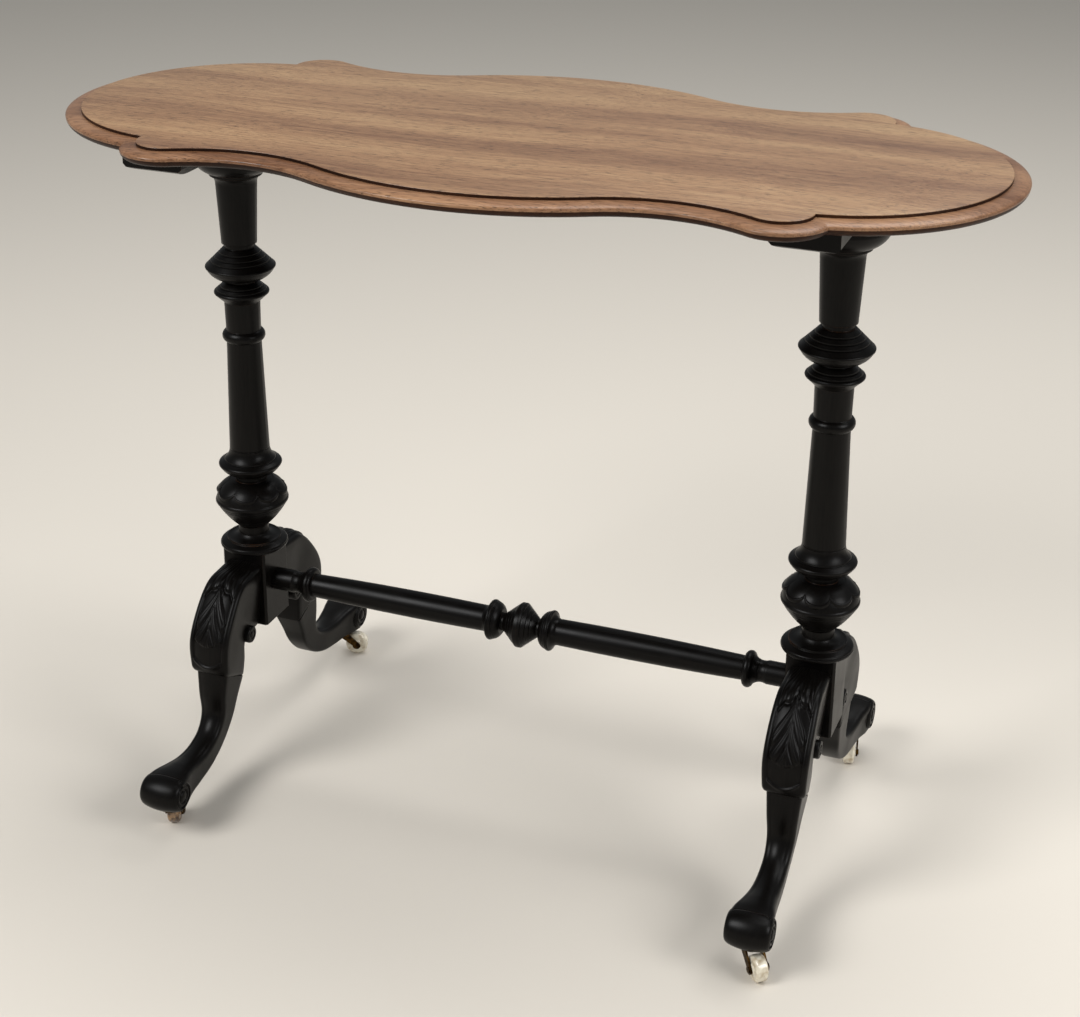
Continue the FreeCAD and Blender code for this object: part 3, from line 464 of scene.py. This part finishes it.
LEAFLET_VEIN = 0.6
SHADOW_DEPTH = 0.9
SPRAY_END = 113.0
LIP_PLACE = 136.0
LIP_RISE = 9.0
LIP_HEIGHT = 1.3
LIP_WIDTH = 2.0
LIP_ROUND = 7.0
LIP_TUCK = 5.0
LIP_NARROWING = 0.16


def flowing(rows, count):
    """Rows of sizes drawn out into a smooth run of many that passes through each of them."""
    rows = np.array(rows)
    places = np.concatenate(([0.0], np.cumsum(np.linalg.norm(np.diff(rows[:, :2], axis=0), axis=1))))
    slopes = np.gradient(rows, places, axis=0)
    at = np.linspace(0.0, places[-1], count)
    before = np.clip(np.searchsorted(places, at, side="right") - 1, 0, len(rows) - 2)
    span = (places[before + 1] - places[before])[:, None]
    t = (at - places[before])[:, None] / span
    leave = (2 * t ** 3 - 3 * t ** 2 + 1) * rows[before] + (t ** 3 - 2 * t ** 2 + t) * span * slopes[before]
    arrive = (3 * t ** 2 - 2 * t ** 3) * rows[before + 1] + (t ** 3 - t ** 2) * span * slopes[before + 1]
    return leave + arrive


def carving(across, along, half):
    """How far the carved front of the knee stands off the plain leg, in millimetres."""
    side = np.abs(across)
    panel = half - FRONT_ROUND
    share = side / panel
    lip_place = LIP_PLACE - LIP_RISE * share ** 2
    inside = (1 - fade(panel - 1.3, panel, side)) * (1 - fade(lip_place - 3.0, lip_place, along))
    ground = GROUND_EDGE + GROUND_SWELL * (1 - share ** 4)

    # The leaf at the top has fanned veins and a lobed end, which rises in a roll where it turns over.
    lobes = np.abs(np.sin(math.pi * share / LOBE_SHARE))
    leaf_edge = LEAF_END + LEAF_FLARE * share ** 0.75 + LOBE_LENGTH * lobes
    leaf_on = 1 - fade(leaf_edge - 0.6, leaf_edge + 0.6, along)
    turn_over = np.sqrt(np.clip(1 - ((along - leaf_edge + LEAF_ROLL) / (LEAF_ROLL + 0.5)) ** 2, 0.0, 1.0))
    turn_over = np.where(along > leaf_edge - LEAF_ROLL, turn_over, 1.0)
    fan = side / (0.4 + 0.6 * np.clip(along / leaf_edge, 0.0, 1.0))
    veins = np.abs(np.sin(math.pi * fan / LEAF_VEIN)) ** 0.5
    rise = LEAF_RISE * fade(0.1, 0.8, along / leaf_edge) * turn_over
    leaf = (LEAF_BODY + rise + LEAF_VEIN_RISE * veins + LOBE_RISE * lobes * turn_over) * leaf_on

    # The spray below has a rib down its middle and leaflets that sweep out and down from it.
    rib_half = RIB_HALF - RIB_TAPER * fade(60.0, 108.0, along)
    rib = RIB_RISE * np.sqrt(np.clip(1 - (side / rib_half) ** 2, 0.0, 1.0))
    rib = rib - RIB_GROOVE * np.exp(-((side - 2.0) / 0.5) ** 2) * (1 - fade(66.0, 78.0, along))
    sweep = (along - LEAFLET_START - LEAFLET_SWEEP * share ** 0.67) / LEAFLET
    within = np.mod(sweep, 1.0)
    blade = np.sin(math.pi * within) ** 0.55
    vein = np.exp(-((within - 0.45) / 0.07) ** 2)
    tip = 1 - fade(0.82, 0.97, share + 0.22 * (2 * within - 1) ** 2)
    leaflets = (LEAFLET_EDGE + LEAFLET_RISE * blade - LEAFLET_VEIN * vein) * tip * fade(-0.02, 0.06, sweep)
    spray = np.maximum(rib, leaflets) * (1 - fade(SPRAY_END - 2.5, SPRAY_END, along + 9.0 * share ** 2))
    shade = SHADOW_DEPTH * np.exp(-((along - leaf_edge - 1.5) / 2.2) ** 2)
    below = (ground + spray - shade) * (1 - leaf_on)

    # The lip is a raised line round the foot of the panel.
    lip = LIP_HEIGHT * np.exp(-((along - lip_place) / LIP_WIDTH) ** 2) * (1 - fade(panel - 1.5, panel, side))
    return inside * (leaf + below - PANEL_DEPTH) + lip


def section_loop(thickness, width, narrowing, fronts):
    """Offsets across and outwards round a section: its crowned front from left to right, then its back."""
    front = thickness / 2 - FRONT_CROWN
    flat = width / 2 - FRONT_ROUND
    back_side = width / 2 - narrowing
    across = np.linspace(-flat, flat, fronts)
    face = np.column_stack((across, front + FRONT_CROWN * (1 - (across / flat) ** 2)))
    turn = np.linspace(0, math.pi / 2, 7)[1:]
    corner = np.column_stack((flat + FRONT_ROUND * np.sin(turn), front - FRONT_ROUND * (1 - np.cos(turn))))
    heel_across = back_side - BACK_ROUND * (1 - np.cos(turn))
    heel = np.column_stack((heel_across, -thickness / 2 + BACK_ROUND * (1 - np.sin(turn))))
    wall = corner[-1] + np.linspace(0, 1, 9)[1:, None] * (heel[0] - corner[-1])
    right = np.concatenate((corner, wall, heel[1:]))
    left = right[::-1] * (-1, 1)
    return np.concatenate((face, right, left))


def leg_run(rows, narrowing, count, fronts, carved):
    """The points of a length of leg, section by section, and the number of points in each."""
    run = flowing(rows, count)
    outward = np.column_stack((-np.sin(np.radians(run[:, 2])), np.cos(np.radians(run[:, 2]))))
    crest = run[:, :2] + outward * run[:, 3:4] / 2
    along = np.concatenate(([0.0], np.cumsum(np.linalg.norm(np.diff(crest, axis=0), axis=1))))
    points = []
    for row, way, distance in zip(run, outward, along):
        loop = section_loop(row[3], row[4], narrowing, fronts)
        if carved:
            loop[:fronts, 1] += carving(loop[:fronts, 0], distance, row[4] / 2)
            near_end = max(0.0, 1 - (along[-1] - distance) / LIP_ROUND)
            drop = 1 - math.sqrt(1 - near_end ** 2)
            loop[:, 0] *= 1 - LIP_NARROWING * drop
            loop[:, 1] -= LIP_TUCK * drop * fade(-row[3] / 4, row[3] / 4, loop[:, 1])
        reach = row[0] + loop[:, 1] * way[0]
        height = row[1] + loop[:, 1] * way[1]
        points.append(np.column_stack((loop[:, 0], reach, height)))
    return np.concatenate(points), len(points[0])


# The foot is a scroll that lies across the leg, with sunk rings in both ends and a flat pad for the castor.
# A smaller scroll under the knee touches the block. Profiles give radii and distances from a scroll's middle
# and close on a pinpoint.
FOOT_REACH = 203.0
FOOT_HEIGHT = 48.0
ROLL_RADIUS = 18.6
ROLL_FALL = 2.0
ROLL_HALF = 16.0
ROLL_POINTS = 72
ROLL_END = [(15.7, 18.4), (14.7, 19.9), (13.8, 20.7), (13.2, 21.0), (12.8, 20.8), (12.5, 20.2),
            (12.4, 19.6), (10.8, 19.6), (10.4, 20.4), (9.8, 20.9), (8.2, 20.9), (7.6, 20.3),
            (7.2, 19.6), (5.8, 19.6), (5.4, 20.4), (4.8, 21.2), (3.0, 21.8), (0.05, 22.0)]
CASTOR_REACH = 195.0
CASTOR_HEIGHT = 31.0
PAD_RADIUS = 14.0
PAD_EDGE = 0.4
PAD_POINTS = 48
SCROLL_REACH = 51.0
SCROLL_HEIGHT = 152.0
SCROLL_POINTS = 40
SCROLL_PROFILE = [(9.0, 0.0), (9.0, 19.0), (8.4, 20.5), (7.0, 21.0), (5.4, 21.0), (5.0, 20.2),
                  (3.2, 20.2), (2.8, 21.0), (0.05, 21.4)]


def turned(profile, count):
    """Points and faces of a turning about Z from its radii and heights, upwards."""
    angles = math.tau * np.arange(count) / count
    rings = []
    for radius, height in profile:
        level = np.full(count, height)
        rings.append(np.column_stack((radius * np.cos(angles), radius * np.sin(angles), level)))
    return np.concatenate(rings), grid_faces(len(profile), count)


def lying_scroll(half, count, reach, height):
    """Points and faces of a scroll across the leg, from the half of its profile that starts in the middle."""
    points, faces = turned([(radius, -aside) for radius, aside in half[:0:-1]] + half, count)
    return np.column_stack((points[:, 2], points[:, 1] + reach, points[:, 0] + height)), faces


def leg_shape():
    """Points and faces of a leg towards +Y: its knee, shin, scroll foot, castor pad and smaller scroll."""
    knee, around = leg_run(KNEE_ROWS, KNEE_NARROWING, KNEE_SECTIONS, KNEE_FRONT_POINTS, True)
    knee_faces = grid_faces(KNEE_SECTIONS, around)
    knee_faces.append(tuple(range(len(knee) - around, len(knee))))
    shin, around = leg_run(SHIN_ROWS, SHIN_NARROWING, SHIN_SECTIONS, SHIN_FRONT_POINTS, False)
    shin_faces = grid_faces(SHIN_SECTIONS, around)
    barrel = []
    for aside in np.linspace(0.0, ROLL_HALF, 7):
        barrel.append((ROLL_RADIUS - ROLL_FALL * (aside / ROLL_HALF) ** 2, aside))
    roll, roll_faces = lying_scroll(barrel + ROLL_END, ROLL_POINTS, FOOT_REACH, FOOT_HEIGHT)
    roll[:, 2] = np.maximum(roll[:, 2], CASTOR_HEIGHT)
    pad, pad_faces = turned([(0.05, CASTOR_HEIGHT), (PAD_RADIUS - PAD_EDGE, CASTOR_HEIGHT),
                             (PAD_RADIUS, CASTOR_HEIGHT + PAD_EDGE), (PAD_RADIUS, FOOT_HEIGHT)], PAD_POINTS)
    pad[:, 1] += CASTOR_REACH
    scroll, scroll_faces = lying_scroll(SCROLL_PROFILE, SCROLL_POINTS, SCROLL_REACH, SCROLL_HEIGHT)
    points = []
    faces = []
    start = 0
    for part, part_faces in ((knee, knee_faces), (shin, shin_faces), (roll, roll_faces), (pad, pad_faces),
                             (scroll, scroll_faces)):
        points.append(part)
        faces += [tuple(start + index for index in face) for face in part_faces]
        start += len(part)
    return np.concatenate(points), faces


CORNERS = ("back_left", "back_right", "front_left", "front_right")


def make_legs(material):
    """Four legs of one mesh, the front ones turned about."""
    points, faces = leg_shape()
    leg = add_mesh("carved_leg_" + CORNERS[0], points, faces, [material], sharp_angle=50.0)
    mesh = leg.data
    for corner in CORNERS:
        if corner != CORNERS[0]:
            leg = bpy.data.objects.new("carved_leg_" + corner, mesh)
            bpy.context.scene.collection.objects.link(leg)
        leg.location = (end_x(corner) * MM, 0.0, 0.0)
        leg.rotation_euler = (0.0, 0.0, math.pi if corner.startswith("front") else 0.0)
        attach(leg, "table")
        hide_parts("leg_" + corner)


make_legs(ebonised("ebonised_carved_leg", 2, wear="#1e130c", softening=0.4))


# Leg dowels
# Eight turned beech pegs, two behind each leg, glued partly into the block and partly into the leg, and not
# seen. Their wood is left bare, as it is in all such joints.
def beech(name):
    """Bare beech: pale, warm and matt, with short brown flecks along the grain."""
    fleck_width = 0.8 * MM
    fleck_length = 9.0 * MM
    fleck_depth = 0.1 * MM
    material, tree = new_material(name)
    place = add_node(tree, "TexCoord").outputs["Object"]
    scale = (1 / fleck_width, 1 / fleck_length, 1 / fleck_width)
    drawn = add_node(tree, "VectorMath", {0: place, 1: scale}, operation="MULTIPLY").outputs[0]
    fleck = add_node(tree, "TexNoise", {"Vector": drawn, "Scale": 1.0, "Detail": 2.0}).outputs[0]
    colour = add_node(tree, "ValToRGB", {"Fac": fleck}, [(0.35, "#a97f55"), (0.6, "#c9a377")])
    bump = add_node(tree, "Bump", {"Height": fleck, "Strength": 0.2, "Distance": fleck_depth}).outputs[0]
    set_surface(tree, {"Base Color": colour.outputs["Color"], "Roughness": 0.7, "Normal": bump})
    return material


dress(["leg_dowels"], beech("bare_beech"))


# Stretcher
# Turned in one length and tenoned into both blocks: a sharp-edged knop in the middle with a ridged ring at
# each side, and another ring near each end. The lines beside the ridges are cut on the lathe.
STRETCHER_LINES = (5.0, 9.0, 12.5, 27.0, 31.5, 233.0, 246.0)
dress(["stretcher"], ebonised("ebonised_stretcher", 0, STRETCHER_LINES))


# Castors
# Four small plate castors, screwed under the feet: a cast brass plate with a riveted pin, a horn that swings
# round it, and a glazed porcelain wheel on a brass axle between the horn's cheeks.
def porcelain(name, stained, clean):
    """Old cream glaze: a hard bright gloss over a body stained by floor dirt in clouds."""
    cloud_size = 6.0 * MM
    glaze_depth = 0.2 * MM
    material, tree = new_material(name)
    place = add_node(tree, "TexCoord").outputs["Object"]
    stain = add_node(tree, "TexNoise", {"Vector": place, "Scale": 1 / cloud_size, "Detail": 4.0}).outputs[0]
    colour = add_node(tree, "ValToRGB", {"Fac": stain}, [(0.30, stained), (0.55, clean)]).outputs["Color"]
    dull = add_node(tree, "MapRange", {"Value": stain, "To Min": 0.34, "To Max": 0.10}).outputs[0]
    bump = add_node(tree, "Bump", {"Height": stain, "Strength": 0.1, "Distance": glaze_depth}).outputs[0]
    set_surface(tree, {"Base Color": colour, "Roughness": dull, "Normal": bump,
                       "Coat Weight": 0.6, "Coat Roughness": 0.08})
    return material


castor_brass = metal("aged_castor_brass", "#57401f", "#21150b", 0.42, 5.0)
for kind in ("plate", "fork", "axle"):
    dress(["castor_" + kind + "_" + corner for corner in CORNERS], castor_brass)
dress(["castor_screws"], castor_brass)
white_glaze = porcelain("glazed_porcelain", "#b5a488", "#e2dac6")
# The front left wheel looks brown in the photograph, with only specks of it bright.
# It gets the same glaze in browns.
brown_glaze = porcelain("brown_porcelain", "#3b2413", "#9a7a58")
for corner in CORNERS:
    dress(["castor_wheel_" + corner], brown_glaze if corner == "front_left" else white_glaze)


# Floor, light and camera
# A plain pale floor under three soft lights, the largest from above. The camera stands where the photograph's
# stood, from a fit to the top's outline and the columns. Lengths here are in metres.
FLOOR_SIZE = 14.0
CAMERA_PLACE = Vector((0.6642, -1.6946, 1.1873))
CAMERA_RIGHT = Vector((0.9332, 0.3593, 0.0069))
CAMERA_UP = Vector((-0.1441, 0.3566, 0.9231))
CAMERA_FORWARD = Vector((-0.3292, 0.8624, -0.3846))


def add_light(name, place, goal, size, watts):
    """A square soft light at a place, turned to its goal."""
    lamp = bpy.data.lights.new(name, "AREA")
    lamp.size = size
    lamp.energy = watts
    made = bpy.data.objects.new(name, lamp)
    made.location = place
    made.rotation_mode = "QUATERNION"
    made.rotation_quaternion = (Vector(goal) - Vector(place)).to_track_quat("-Z", "Y")
    bpy.context.scene.collection.objects.link(made)


bpy.ops.mesh.primitive_plane_add(size=FLOOR_SIZE)
floor = bpy.context.object
floor.name = "floor"
paint, paint_tree = new_material("pale_floor")
set_surface(paint_tree, {"Base Color": linear("#cfc8bd"), "Roughness": 0.85})
floor.data.materials.append(paint)

world = bpy.data.worlds.new("studio")
bpy.context.scene.world = world
world.use_nodes = True
world.node_tree.nodes["Background"].inputs["Color"].default_value = linear("#dfe3e6")
world.node_tree.nodes["Background"].inputs["Strength"].default_value = 0.35
add_light("window_light", (-1.6, -2.2, 2.6), (0.0, 0.0, 0.4), 1.5, 95.0)
add_light("side_light", (2.6, -0.6, 1.8), (0.0, 0.0, 0.35), 1.3, 40.0)
add_light("ceiling_light", (0.6, 0.8, 3.2), (0.0, 0.0, 0.5), 2.4, 75.0)

camera_data = bpy.data.cameras.new("camera")
camera_data.sensor_width = 36.0
camera_data.lens = 68.6
camera_data.shift_y = -0.0926
camera = bpy.data.objects.new("camera", camera_data)
axes = Matrix((CAMERA_RIGHT, CAMERA_UP, -CAMERA_FORWARD)).transposed()
camera.matrix_world = Matrix.Translation(CAMERA_PLACE) @ axes.to_4x4()
bpy.context.scene.collection.objects.link(camera)
bpy.context.scene.camera = camera
bpy.context.scene.view_settings.view_transform = "Standard"
